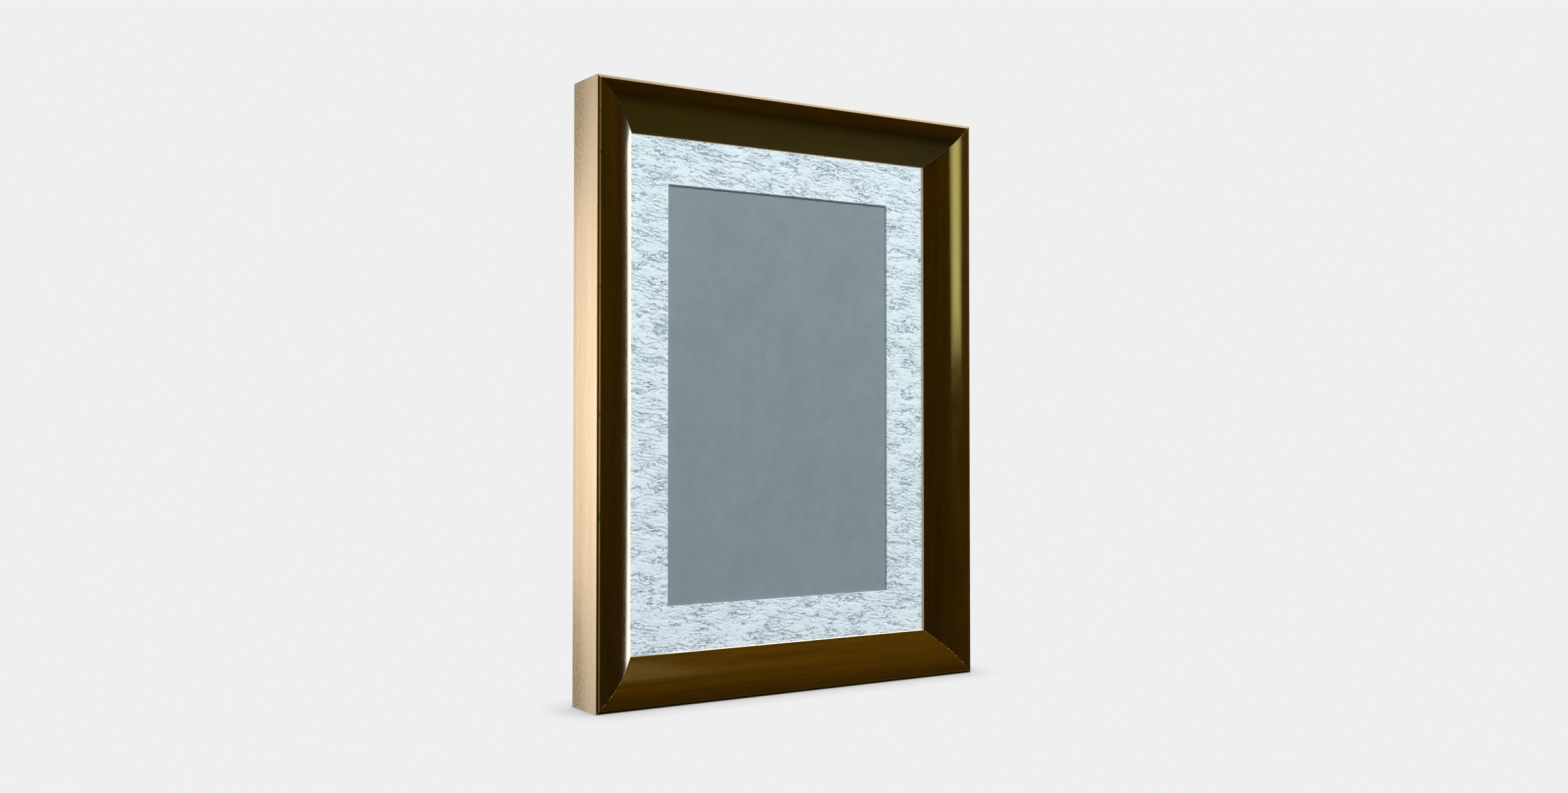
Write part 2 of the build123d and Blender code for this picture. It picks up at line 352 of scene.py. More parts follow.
@dataclass(frozen=True)
class BareMaple:
    """Pale bare sanded maple, flecked along the grain; painted shade toward the ends and back."""

    name: str = "bare_maple"
    pale: Colour = (0.850, 0.675, 0.475, 1.0)
    warm: Colour = (0.760, 0.570, 0.372, 1.0)
    fleck: Colour = (0.400, 0.285, 0.165, 1.0)
    # Colour of the painted shade toward the ends and back.
    painted_shade: Colour = (0.230, 0.175, 0.095, 1.0)
    # Colour of the dark specks shown inside the painted shade.
    shade_speck: Colour = (0.240, 0.190, 0.110, 1.0)

    def make(self) -> Material:
        """Build the material and return it."""
        g = Graph.of_material(self.name)
        bands = g.cloud((3.2, 120, 1), "grain", detail=4, roughness=0.55, distortion=0.3)
        fibre = g.cloud((30, 1500, 1), "grain", 2.3, detail=3, roughness=0.6)
        specks = g.cloud((150, 1300, 1), "grain", 7.7, detail=2, roughness=0.6)
        colour = g.ramp(bands, (0.3, self.warm), (0.62, self.pale))
        streaks = g.ramp(fibre, (0.3, (0.84, 0.8, 0.74, 1)), (0.6, (1, 1, 1, 1)))
        colour = g.mix(0.5, colour, streaks, "MULTIPLY")
        mark = g.span(specks, 0.63, 0.74, (0.0, 0.55))
        colour = g.mix(mark, colour, self.fleck)
        # Painted shade: darker toward both ends and toward the back edge.
        run = g.add("ShaderNodeUVMap", uv_map="run").outputs[0]
        axes = g.add("ShaderNodeSeparateXYZ", {0: run}).outputs
        ends = g.span(g.maths("ABSOLUTE", axes[0]), 0.45, 1.0, UNIT)
        rear = g.span(axes[1], 0.15, 1.1, UNIT)
        painted_shade = g.maths("ADD", g.maths("MULTIPLY", ends, 0.12), g.maths("MULTIPLY", rear, 0.13))
        both = g.maths("MULTIPLY", g.maths("MULTIPLY", ends, rear), 0.30)
        painted_shade = g.maths("ADD", painted_shade, both)
        colour = g.mix(painted_shade, colour, self.painted_shade)
        # Dark grain specks, shown mostly where the shade is painted.
        grains = g.cloud((380, 900, 1), "grain", 4.2, detail=4, roughness=0.75)
        shown = g.span(grains, 0.46, 0.58, (0.0, 0.85))
        shown = g.maths("MULTIPLY", shown, g.span(painted_shade, 0.04, 0.42, (0.05, 0.85)))
        colour = g.mix(shown, colour, self.shade_speck)
        relief = g.bump(grains, 0.00008, 0.5)
        relief = g.bump(mark, -0.00004, 0.5, relief)
        return g.surface(
            Base_Color=colour,
            Roughness=g.span(fibre, 0.3, 0.7, (0.74, 0.62)),
            Normal=relief,
            Specular_IOR_Level=0.12,
        )


@dataclass(frozen=True)
class WornArris:
    """The thin edge at a mitre, where the stain has rubbed off the maple in places."""

    bare: Colour = (0.86, 0.72, 0.52, 1.0)
    stain: Colour = (0.030, 0.014, 0.001, 1.0)

    def make(self) -> Material:
        """Build the material and return it."""
        g = Graph.of_material("worn_arris")
        chips = g.cloud((300, 300, 1), "grain", detail=2, roughness=0.7)
        bare = g.span(chips, 0.48, 0.54, UNIT)
        return g.surface(
            Base_Color=g.mix(bare, self.stain, self.bare),
            Roughness=g.span(chips, 0.4, 0.6, (0.35, 0.6)),
            Specular_IOR_Level=0.4,
            Normal=g.bump(chips, 0.00005, 0.5),
        )


@dataclass(frozen=True)
class StonePaper:
    """Thick torn-textured paper: cool white, slightly mint, with painted shadows under fine ledges.
    """

    plate: Colour = (0.725, 0.818, 0.895, 1.0)
    mint: Colour = (0.700, 0.832, 0.880, 1.0)
    # Colour of the painted shadows under the ledges and in the hollows.
    painted_shadow: Colour = (0.270, 0.350, 0.405, 1.0)

    def make(self) -> Material:
        """Build the material and return it."""
        g = Graph.of_material("mat_paper")
        tone = g.cloud((5, 1, 4), detail=2, roughness=0.5)
        colour = g.mix(g.span(tone, 0.35, 0.65, UNIT), self.plate, self.mint)
        # Painted shadow: dark streaks just under the ledges, also used to dent them.
        ledge_shadows = self.ledges(g, 190.0, 2.9, (62, 1, 80), 0.0)
        ledge_shadows = g.maths("MAXIMUM", ledge_shadows, self.ledges(g, 330.0, 3.2, (100, 1, 125), 4.7))
        colour = g.mix(g.span(ledge_shadows, 0.12, 0.86, (0.0, 0.9)), colour, self.painted_shadow)
        # Painted shade: the colour darkens with the depth of the relief's hollows.
        depth = g.add("ShaderNodeAttribute", attribute_name="hollow").outputs["Fac"]
        colour = g.mix(g.span(depth, 0.22, 0.80, (0.0, 0.95)), colour, self.painted_shadow)
        tooth = g.cloud((900, 1, 1500), detail=3, roughness=0.6)
        relief = g.bump(ledge_shadows, -0.0004, 0.7)
        relief = g.bump(tooth, 0.00012, 0.5, relief)
        return g.surface(Base_Color=colour, Roughness=0.9, Normal=relief, Specular_IOR_Level=0.15)

    @staticmethod
    def ledges(g: Graph, pace: float, tear: float, grain: Triple, shift: float) -> Socket:
        """Painted shadows under fine ragged ledges: sharp above, fading below, shown in patches.

        Args:
            g: The material's graph.
            pace: Ledges in a metre.
            tear: How far they are torn from a level line, in ledges.
            grain: Scale of the tearing.
            shift: Moves the pattern.

        Returns:
            How much painted shadow each place gets, from 0 to 1.
        """
        torn = g.cloud(grain, shift=shift, detail=3, roughness=0.58, distortion=0.3)
        axes = g.add("ShaderNodeSeparateXYZ", {0: g.place((0.16 * pace, 1, pace))}).outputs
        level = g.maths("ADD", axes[0], axes[2])
        strata = g.maths("SUBTRACT", g.maths("MULTIPLY", torn, tear), level)
        fade = g.maths("POWER", g.maths("SUBTRACT", 1.0, g.maths("FRACT", strata)), 3.0)
        patches = g.cloud((36, 1, 95), shift=shift + 2.0, detail=3, roughness=0.65)
        return g.maths("MULTIPLY", fade, g.span(patches, 0.485, 0.55, UNIT))


@dataclass(frozen=True)
class CloudedSheet:
    """A grey-blue sheet with soft cloudy mottling and a fine paper tooth."""

    dark: Colour = screen(120, 135, 142)
    light: Colour = screen(129, 144, 151)

    def make(self) -> Material:
        """Build the material and return it."""
        g = Graph.of_material("art_sheet")
        broad = g.cloud((26, 1, 26), detail=5, roughness=0.62, distortion=0.2)
        fine = g.cloud((120, 1, 120), shift=4.4, detail=4, roughness=0.6)
        blend = g.maths("ADD", g.maths("MULTIPLY", broad, 0.6), g.maths("MULTIPLY", fine, 0.4))
        colour = g.ramp(blend, (0.36, self.dark), (0.64, self.light))
        grit = g.cloud((2200, 1, 2200), shift=1.1, detail=2)
        relief = g.bump(fine, 0.00006, 0.4)
        relief = g.bump(grit, 0.00002, 0.4, relief)
        return g.surface(Base_Color=colour, Roughness=0.85, Normal=relief, Specular_IOR_Level=0.2)


@dataclass(frozen=True)
class ClearGlass:
    """Clear picture glass with an anti-reflection finish and a faint uneven film."""

    thin: Colour = (0.80, 0.90, 0.88, 1.0)
    thick: Colour = (0.86, 0.94, 0.92, 1.0)

    def make(self) -> Material:
        """Build the material and return it."""
        g = Graph.of_material("picture_glass")
        film = g.cloud((9, 1, 9), detail=3)
        g.owner.surface_render_method = "BLENDED"
        return g.surface(
            Base_Color=g.ramp(film, (0.3, self.thin), (0.7, self.thick)),
            Roughness=g.span(film, 0.3, 0.7, (0.02, 0.05)),
            Alpha=0.03,
            IOR=1.5,
        )


@dataclass(frozen=True)
class BoardStock:
    """Pressed board: fine fibres in two tones, lightly rough."""

    name: str
    dark: Colour
    light: Colour
    grain: float = 240.0
    rough: float = 0.8
    relief: float = 0.00006

    def make(self) -> Material:
        """Build the material and return it."""
        g = Graph.of_material(self.name)
        fibre = g.cloud((self.grain,) * 3, detail=5, roughness=0.68, distortion=0.8)
        patch = g.cloud((14, 14, 14), shift=3.0, detail=4, roughness=0.6)
        blend = g.maths("ADD", g.maths("MULTIPLY", fibre, 0.62), g.maths("MULTIPLY", patch, 0.38))
        colour = g.ramp(blend, (0.36, self.dark), (0.62, self.light))
        return g.surface(
            Base_Color=colour,
            Roughness=g.span(patch, 0.3, 0.7, (self.rough - 0.06, self.rough + 0.06)),
            Normal=g.bump(fibre, self.relief, 0.7),
            Specular_IOR_Level=0.25,
        )


@dataclass(frozen=True)
class Woven:
    """Plain-woven tape or pressed felt, as crossing threads."""

    name: str
    dark: Colour
    light: Colour
    threads: float = 2200.0

    def make(self) -> Material:
        """Build the material and return it."""
        g = Graph.of_material(self.name)
        across = g.cloud((self.threads, 80, 160), detail=2)
        along = g.cloud((160, 80, self.threads), shift=6.0, detail=2)
        cloth = g.maths("MAXIMUM", across, along)
        return g.surface(
            Base_Color=g.ramp(cloth, (0.4, self.dark), (0.66, self.light)),
            Roughness=0.95,
            Normal=g.bump(cloth, 0.0001, 0.8),
            Sheen_Weight=0.3,
            Sheen_Roughness=0.5,
        )


@dataclass(frozen=True)
class Metal:
    """Plated or drawn metal with rolling marks and faint handling scratches."""

    name: str
    dark: Colour
    light: Colour
    rough: tuple[float, float] = (0.24, 0.4)

    def make(self) -> Material:
        """Build the material and return it."""
        g = Graph.of_material(self.name)
        patch = g.cloud((90, 90, 90), detail=4, roughness=0.6)
        scratch = g.cloud((260, 900, 2600), shift=2.0, detail=3, roughness=0.7)
        return g.surface(
            Base_Color=g.ramp(patch, (0.32, self.dark), (0.64, self.light)),
            Metallic=1.0,
            Roughness=g.span(scratch, 0.3, 0.7, self.rough),
            Normal=g.bump(scratch, 0.00001, 0.4),
        )


@dataclass(frozen=True)
class Rubber:
    """Moulded rubber with a matt, slightly dusty skin."""

    name: str
    dark: Colour
    light: Colour
    rough: float = 0.6

    def make(self) -> Material:
        """Build the material and return it."""
        g = Graph.of_material(self.name)
        dust = g.cloud((320, 320, 320), detail=5, roughness=0.65)
        return g.surface(
            Base_Color=g.ramp(dust, (0.35, self.dark), (0.7, self.light)),
            Roughness=g.span(dust, 0.3, 0.7, (self.rough - 0.1, self.rough + 0.12)),
            Normal=g.bump(dust, 0.00003, 0.6),
        )


# ---- mesh helpers


def finish_piece(bm: Mesh, name: str, materials: list[Material], smooth: float = 32.0) -> Piece:
    """Turn a bmesh into a shown piece at the origin.

    Args:
        bm: The built shape, which is freed.
        name: Name of the piece.
        materials: Its materials, in slot order.
        smooth: Edges sharper than this many degrees stay crisp.

    Returns:
        The new object.
    """
    mesh = bpy.data.meshes.new(name)
    bm.to_mesh(mesh)
    bm.free()
    for material in materials:
        mesh.materials.append(material)
    mesh.shade_smooth()
    mesh.set_sharp_from_angle(angle=math.radians(smooth))
    piece = bpy.data.objects.new(name, mesh)
    bpy.context.scene.collection.objects.link(piece)
    return piece


def stand_for(piece: Piece, node: str, body: str = BODY) -> None:
    """Let a piece replace a CAD node, and log its faces and its size in millimetres.

    Args:
        piece: The new piece.
        node: The CAD node that it stands for.
        body: The CAD body that it rides on.
    """
    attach(piece, body)
    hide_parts(node)
    size = " x ".join(f"{edge / MM:.1f}" for edge in piece.dimensions)
    log.info("%s: %d faces, %s mm", piece.name, len(piece.data.polygons), size)


def bevel(bm: Mesh, geom: list, offset: float, segments: int, affect: str = "EDGES") -> list:
    """Round edges or corners.

    Args:
        bm: The bmesh.
        geom: The edges or vertices to round.
        offset: Width that is taken off each side.
        segments: Number of steps in the rounding.
        affect: EDGES or VERTICES.

    Returns:
        The new faces.
    """
    return bmesh.ops.bevel(
        bm,
        geom=geom,
        offset=offset,
        affect=affect,
        segments=segments,
        profile=0.5,
        material=-1,
        clamp_overlap=affect == "EDGES",
    )["faces"]


def cut(bm: Mesh, point: Triple, normal: Triple, drop: bool = False) -> None:
    """Cut the whole mesh with a plane.

    Args:
        bm: The bmesh.
        point: A point on the plane.
        normal: The plane's normal.
        drop: True to drop what lies on the normal's side.
    """
    bmesh.ops.bisect_plane(
        bm,
        geom=bm.verts[:] + bm.edges[:] + bm.faces[:],
        dist=1e-7,
        plane_co=point,
        plane_no=normal,
        clear_outer=drop,
    )


def draw_to(bm: Mesh, start: Vert, place: Triple) -> Vert:
    """Draw a straight edge from a vertex.

    Args:
        bm: The bmesh.
        start: The vertex to leave from.
        place: Where the new vertex goes.

    Returns:
        The new vertex.
    """
    made = bmesh.ops.extrude_vert_indiv(bm, verts=[start])
    made["verts"][0].co = place
    return made["verts"][0]


# ---- rails


class Side(Enum):
    """The four rails, each with its CAD node, the turn about Y and where its middle lies."""

    BOTTOM = ("rail_bottom", 0.0, (0.0, 0.0))
    TOP = ("rail_top", 180.0, (0.0, 1.0))
    LEFT = ("rail_left", 90.0, (-0.5, 0.5))
    RIGHT = ("rail_right", -90.0, (0.5, 0.5))

    @property
    def node(self) -> str:
        """Name of the CAD node."""
        return self.value[0]

    @property
    def upright(self) -> bool:
        """True for the two side rails."""
        return self in (Side.LEFT, Side.RIGHT)

    def placing(self, width: float, height: float) -> Matrix:
        """Matrix that takes a rail lying along X at the base to its side.

        Args:
            width: Outer width of the frame.
            height: Outer height of the frame.

        Returns:
            The placing matrix.
        """
        turn, (across, up) = self.value[1], self.value[2]
        move = Matrix.Translation((across * width, 0, up * height))
        return move @ Matrix.Rotation(math.radians(turn), 4, "Y")


class Skin(Enum):
    """Material slots of a rail."""

    STAIN = 0
    BARE = 1
    WORN = 2
    # Lighter stain: a painted highlight on the side rails' shoulders, also laid on the bottom lip.
    LIGHT_STAIN = 3


@dataclass
class Moulding:
    """The rolled section that all four rails share, in metres."""

    face_w: float = 39.2 * MM
    depth: float = 43.00 * MM
    crown: float = 1.0 * MM
    land_w: float = 2.0 * MM
    shoulder_w: float = 0.9 * MM
    flat_end: float = 9.0 * MM
    roll_radius: float = 23.8 * MM
    roll_turn: float = math.radians(36.0)
    slope_radius: float = 91.0 * MM
    sight_d: float = 18.66 * MM
    shoulder_d: float = 21.66 * MM
    rebate_w: float = 6.5 * MM
    arris: float = 0.34 * MM
    back_arris: float = 0.6 * MM
    fine_arris: float = 0.14 * MM
    mitre_arris: float = 0.30 * MM

    @property
    def rebate_s(self) -> float:
        """Distance from the outer edge to the rebate wall."""
        return self.face_w - self.rebate_w

    @property
    def slope_turn(self) -> float:
        """Angle turned by the slower arc that runs down to the sight edge."""
        start = self.flat_end + self.roll_radius * math.sin(self.roll_turn)
        rise = (self.face_w - start) / self.slope_radius
        return math.asin(math.sin(self.roll_turn) + rise) - self.roll_turn

    def draw(self, bm: Mesh, y_land: float, x: float) -> None:
        """Draw the closed section as a wire.

        Args:
            bm: The bmesh to draw in.
            y_land: Depth of the outer land.
            x: Where the section stands along the rail.
        """
        y_crown = y_land - self.crown
        first = bm.verts.new((x, y_land, 0))
        at = draw_to(bm, first, (x, y_land, self.land_w))
        at = draw_to(bm, at, (x, y_crown, self.land_w + self.shoulder_w))
        at = draw_to(bm, at, (x, y_crown, self.flat_end))
        centre = Vector((x, y_crown + self.roll_radius, self.flat_end))
        at = self.sweep(bm, at, centre, self.roll_turn, 12)
        toward = (centre - at.co).normalized()
        at = self.sweep(bm, at, at.co + toward * self.slope_radius, self.slope_turn, 8)
        corners = (
            (self.shoulder_d, self.face_w),
            (self.shoulder_d, self.rebate_s),
            (self.depth, self.rebate_s),
            (self.depth, 0.0),
        )
        for deep, inward in corners:
            at = draw_to(bm, at, (x, y_land + deep, inward))
        bmesh.ops.contextual_create(bm, geom=[at, first])

    @staticmethod
    def sweep(bm: Mesh, start: Vert, centre: Vector, turn: float, steps: int) -> Vert:
        """Spin a vertex into an arc and return its last vertex.

        Args:
            bm: The bmesh.
            start: The vertex to spin.
            centre: Centre of the arc.
            turn: Angle of the arc.
            steps: Number of edges in it.

        Returns:
            The last vertex of the arc.
        """
        made = bmesh.ops.spin(
            bm, geom=[start], cent=centre, axis=(1, 0, 0), angle=-turn, steps=steps, use_merge=False
        )
        return next(part for part in made["geom_last"] if isinstance(part, Vert))


@dataclass
class Rail:
    """One mitred rail: stained on the face, bare maple on its other sides."""

    side: Side
    width: float
    height: float
    y_land: float
    section: Moulding
    sharp: float = math.radians(25.0)
    oblique: float = 0.6
    tilt: float = 0.3
    grain_step: float = 0.7

    @property
    def length(self) -> float:
        """Length of the rail along its outer edge."""
        return self.height if self.side.upright else self.width

    def build(self, materials: list[Material]) -> Piece:
        """Build the rail.

        Args:
            materials: Stain, bare timber, worn arris and a lighter stain for painted highlights.

        Returns:
            The finished piece.
        """
        bm = bmesh.new()
        self.section.draw(bm, self.y_land, -self.length / 2)
        made = bmesh.ops.extrude_edge_only(bm, edges=bm.edges[:])
        moved = [part for part in made["geom"] if isinstance(part, Vert)]
        bmesh.ops.translate(bm, verts=moved, vec=(self.length, 0, 0))
        self.mitre(bm)
        self.ease(bm)
        self.paint(bm)
        self.lay_grain(bm)
        placing = self.side.placing(self.width, self.height)
        bmesh.ops.transform(bm, matrix=placing, verts=bm.verts[:])
        return finish_piece(bm, f"{self.side.node}_timber", materials, 40.0)

    def mitre(self, bm: Mesh) -> None:
        """Cut both ends at 45 degrees and close them."""
        for end in (-1, 1):
            cut(bm, (end * self.length / 2, 0, 0), (end, 0, 1), drop=True)
        bmesh.ops.holes_fill(bm, edges=bm.edges[:], sides=0)
        bmesh.ops.recalc_face_normals(bm, faces=bm.faces[:])

    def ease(self, bm: Mesh) -> None:
        """Round the long arrises, then the mitres' edges, which are worn but at one corner."""
        section = self.section
        for amount in (section.back_arris, section.arris, section.fine_arris):
            edges = [
                edge
                for edge in bm.edges
                if self.runs_along(edge)
                and edge.calc_face_angle(0) > self.sharp
                and self.arris_of(edge) == amount
            ]
            bevel(bm, edges, amount, 3)
        ends = [
            edge
            for edge in bm.edges
            if not self.runs_along(edge)
            and any(abs(face.normal.x) > self.oblique for face in edge.link_faces)
            and any(face.normal.y < -0.5 and abs(face.normal.x) < 0.1 for face in edge.link_faces)
        ]
        crisp = {Side.TOP: 1, Side.LEFT: -1}.get(self.side, 0)
        for face in bevel(bm, ends, section.mitre_arris, 2):
            if face.calc_center_median().x * crisp <= 0:
                face.material_index = Skin.WORN.value

    def arris_of(self, edge: Edge) -> float:
        """How much a long edge is eased."""
        section = self.section
        near = 0.1 * MM
        inward = edge.verts[0].co.z
        deep = edge.verts[0].co.y - self.y_land
        if deep > section.depth - near and inward < near:
            return section.back_arris
        on_face = deep < near < inward
        if on_face or deep > section.sight_d + MM:
            return section.fine_arris
        return section.arris

    @staticmethod
    def runs_along(edge: Edge) -> bool:
        """True for an edge that runs the length of the rail."""
        span = edge.verts[1].co - edge.verts[0].co
        return abs(span.x) > 0.9 * span.length

    def paint(self, bm: Mesh) -> None:
        """Stain the face, leave the rest bare; paint highlights on top land and side shoulders."""
        section, tilt = self.section, self.tilt
        # Painted highlight: on the top rail the stain starts past the outer land, leaving it pale.
        edge = section.land_w if self.side is Side.TOP else section.arris * 0.9
        for face in bm.faces:
            if face.material_index == Skin.WORN.value:
                continue
            middle = face.calc_center_median()
            on_face = edge < middle.z < section.face_w - section.arris * 0.5
            stained = face.normal.y < -tilt and on_face and abs(face.normal.x) < tilt
            stained = stained and middle.y < self.y_land + section.sight_d
            face.material_index = (Skin.STAIN if stained else Skin.BARE).value
            # Painted highlight: the side rails' shoulders take the lighter stain.
            step = section.land_w < middle.z < section.land_w + section.shoulder_w
            # The bottom rail's upward lip wall takes the lighter stain in place of bare maple.
            lip = self.side is Side.BOTTOM and face.normal.z > 0.5 and middle.z > section.rebate_s
            if (stained and step and self.side.upright) or lip and not stained:
                face.material_index = Skin.LIGHT_STAIN.value

    def lay_grain(self, bm: Mesh) -> None:
        """Give each face two maps: grain in metres, and its share of the length and depth."""
        grain = bm.loops.layers.uv.new("grain")
        run = bm.loops.layers.uv.new("run")
        shift = self.grain_step * (1 + list(Side).index(self.side))
        for face in bm.faces:
            for loop in face.loops:
                place = loop.vert.co
                loop[grain].uv = (place.x + shift, place.y + place.z + shift)
                back = (place.y - self.y_land) / self.section.depth
                loop[run].uv = (2 * place.x / self.length, back)


# ---- mat


@dataclass
class WindowMat:
    """The thick rough mat: a relief sheet round a window, closed at its back."""

    width: float
    height: float
    window_w: float
    window_h: float
    y_front: float
    y_back: float
    mid_z: float
    relief: float = 1.40 * MM
    clear: float = 0.05 * MM
    bevel: float = 0.5 * MM
    lip_depth: float = 0.25
    cell_x: float = 1.10 * MM
    cell_z: float = 0.66 * MM
    coarse_pace: float = 6.4 * MM
    fine_pace: float = 3.1 * MM
    slant: float = 0.3
    fall: float = 2.8

    def hollow_at(self, x: float, z: float) -> float:
        """Depth of the relief at a place on the mat.

        Args:
            x: Place across the mat, in metres.
            z: Place up the mat, in metres.

        Returns:
            Depth below the highest plates, from 0 to 1.
        """

        def spot(wide: float, tall: float, seed: float, push: float = 0.0) -> Vector:
            """The place in cells of a width and height in millimetres."""
            return Vector((x / (wide * MM) + push, z / (tall * MM), seed))

        sway = noise.noise(spot(9, 5, 3.1))
        torn = noise.fractal(spot(12, 6, 5.0, sway * 0.5), 0.75, 2.1, 5)
        swell = noise.noise(spot(22, 12, 0.0))
        grit = noise.fractal(spot(2.6, 1.3, 20.0), 0.6, 2.2, 2)
        coarse = self.crease(x, z, self.coarse_pace, torn * 1.5 + 0.8 * swell, 12.0)
        fine = self.crease(x, z, self.fine_pace, torn * 2.4 + 0.7 * sway, 31.0)
        deep = 0.06 + 0.05 * swell + 0.80 * coarse + 0.60 * fine + 0.03 * grit
        return min(1.0, max(0.0, deep))

    def crease(self, x: float, z: float, pace: float, tear: float, seed: float) -> float:
        """Ragged ledges, each with a sharp upper lip and a hollow that fades out below it.

        Args:
            x: Place across the mat.
            z: Place up the mat.
            pace: Distance from ledge to ledge.
            tear: How far the ledge is torn away from a level line, in paces.
            seed: Picks which stretches of the ledges show.

        Returns:
            Depth of the hollow, from 0 to 1.
        """
        strata = tear - (z + self.slant * x) / pace
        below = strata - math.floor(strata)
        spot = Vector((x / (2.8 * pace), z / (1.5 * pace), seed))
        shown = min(1.0, max(0.0, 0.38 + 3.2 * noise.noise(spot)))
        return shown * (1.0 - below) ** self.fall

    def build(self, materials: list[Material]) -> Piece:
        """Build the mat.

        Args:
            materials: The paper.

        Returns:
            The finished piece.
        """
        bm = bmesh.new()
        hollow = bm.verts.layers.float.new("hollow")
        margin_w = (self.width - self.window_w) / 2
        margin_h = (self.height - self.window_h) / 2
        inner = self.front_grid(bm, margin_w, margin_h)
        for vert in bm.verts:
            deep = self.hollow_at(vert.co.x, vert.co.z)
            vert[hollow] = deep
            vert.co.y = self.y_front + self.clear + deep * self.relief
        rim = [edge for edge in bm.edges if edge.is_boundary]
        lip = {vert for edge in rim for vert in edge.verts if inner(vert)}
        top = self.y_front + self.clear
        for vert in lip:
            vert.co.y = min(vert.co.y, top + self.lip_depth * self.relief)
        for deep in (top + 2 * self.bevel, self.y_back):
            made = bmesh.ops.extrude_edge_only(bm, edges=rim)["geom"]
            for vert in made:
                if isinstance(vert, Vert):
                    vert.co.y = deep
                    vert[hollow] = 0.0
            rim = [edge for edge in made if isinstance(edge, Edge)]
            rim = [edge for edge in rim if edge.is_boundary]
        for vert in lip:
            for axis, full, middle in ((0, self.window_w, 0.0), (2, self.window_h, self.mid_z)):
                off = vert.co[axis] - middle
                if abs(abs(off) - full / 2) < 10 * HAIR:
                    vert.co[axis] += math.copysign(self.bevel, off)
        bmesh.ops.triangle_fill(bm, use_beauty=False, edges=rim, normal=(0, 1, 0))
        bmesh.ops.recalc_face_normals(bm, faces=bm.faces[:])
        return finish_piece(bm, "window_mat_relief", materials, 70.0)

    def front_grid(self, bm: Mesh, margin_w: float, margin_h: float):
        """Lay the four margins as a fine grid with the window left out.

        Args:
            bm: The bmesh to build in.
            margin_w: Width of the side margins.
            margin_h: Height of the head and foot margins.

        Returns:
            A test that is true for a vertex on the window's edge.
        """
        spans_x, spans_z = (
            ((-full / 2, margin), (-window / 2, window), (window / 2, margin))
            for full, window, margin in (
                (self.width, self.window_w, margin_w),
                (self.height, self.window_h, margin_h),
            )
        )
        for column, (left, wide) in enumerate(spans_x):
            for row, (foot, tall) in enumerate(spans_z):
                if column == 1 and row == 1:
                    continue
                place = Matrix.Translation((left + wide / 2, 0, self.mid_z + foot + tall / 2))
                place = place @ Matrix.Rotation(math.pi / 2, 4, "X")
                place = place @ Matrix.Diagonal((wide, tall, 1, 1))
                across, upward = round(wide / self.cell_x), round(tall / self.cell_z)
                bmesh.ops.create_grid(
                    bm, x_segments=across, y_segments=upward, size=0.5, matrix=place
                )
        bmesh.ops.remove_doubles(bm, verts=bm.verts[:], dist=HAIR)
        reach_w = self.window_w / 2 + 10 * HAIR
        reach_h = self.window_h / 2 + 10 * HAIR
        return lambda vert: abs(vert.co.x) < reach_w and abs(vert.co.z - self.mid_z) < reach_h


# ---- hardware


@dataclass
class TurnButton:
    """A stamped plate that turns on its screw, with a finger tab bent up at the tip."""

    node: str
    pivot: Vector
    turn: float
    low: float
    half_w: float = 4.5 * MM
    reach: float = 24.0 * MM
    tab: float = 5.0 * MM
    tab_turn: float = math.radians(20.0)
    thick: float = 1.2 * MM
    hole_r: float = 1.46 * MM
    ease: float = 0.22 * MM
    tip_round: float = 0.6
    heel_round: float = 0.999
    sharp: float = math.radians(60.0)

    def build(self, materials: list[Material]) -> Piece:
        """Build the plate.

        Args:
            materials: The plated steel.

        Returns:
            The finished piece.
        """
        bm = bmesh.new()
        half, reach = self.half_w, self.reach
        corners = ((-half, -half, 0), (reach, -half, 0), (reach, half, 0), (-half, half, 0))
        frame = [bm.verts.new(corner) for corner in corners]
        bmesh.ops.contextual_create(bm, geom=frame)
        for ends, share in ((frame[1:3], self.tip_round), (frame[::3], self.heel_round)):
            bevel(bm, ends, half * share, 8, "VERTICES")
        bmesh.ops.delete(bm, geom=bm.faces[:], context="FACES_ONLY")
        bmesh.ops.create_circle(bm, cap_ends=False, radius=self.hole_r, segments=28)
        bmesh.ops.triangle_fill(bm, use_beauty=True, edges=bm.edges[:], normal=(0, 0, 1))
        bend = reach - self.tab
        cut(bm, (bend, 0, 0), (1, 0, 0))
        bmesh.ops.dissolve_limit(bm, angle_limit=0.02, verts=bm.verts[:], edges=bm.edges[:])
        made = bmesh.ops.extrude_face_region(bm, geom=bm.faces[:])
        top = [part for part in made["geom"] if isinstance(part, Vert)]
        bmesh.ops.translate(bm, verts=top, vec=(0, 0, self.thick))
        bmesh.ops.recalc_face_normals(bm, faces=bm.faces[:])
        rims = [edge for edge in bm.edges if edge.calc_face_angle(0) > self.sharp]
        bevel(bm, rims, self.ease, 2)
        tip = [vert for vert in bm.verts if vert.co.x > bend + HAIR]
        raised = Matrix.Rotation(-self.tab_turn, 3, "Y")
        bmesh.ops.rotate(bm, verts=tip, cent=(bend, 0, 0), matrix=raised)
        bmesh.ops.transform(bm, matrix=self.placing(), verts=bm.verts[:])
        return finish_piece(bm, f"{self.node}_plate", materials, 35.0)

    def placing(self) -> Matrix:
        """Matrix from the flat plate to its place on the rail's back."""
        along = Vector((math.cos(self.turn), 0, math.sin(self.turn)))
        rise = Vector((0, 1, 0))
        across = rise.cross(along)
        turned = Matrix((along, across, rise)).transposed().to_4x4()
        return Matrix.Translation((self.pivot.x, self.low, self.pivot.z)) @ turned


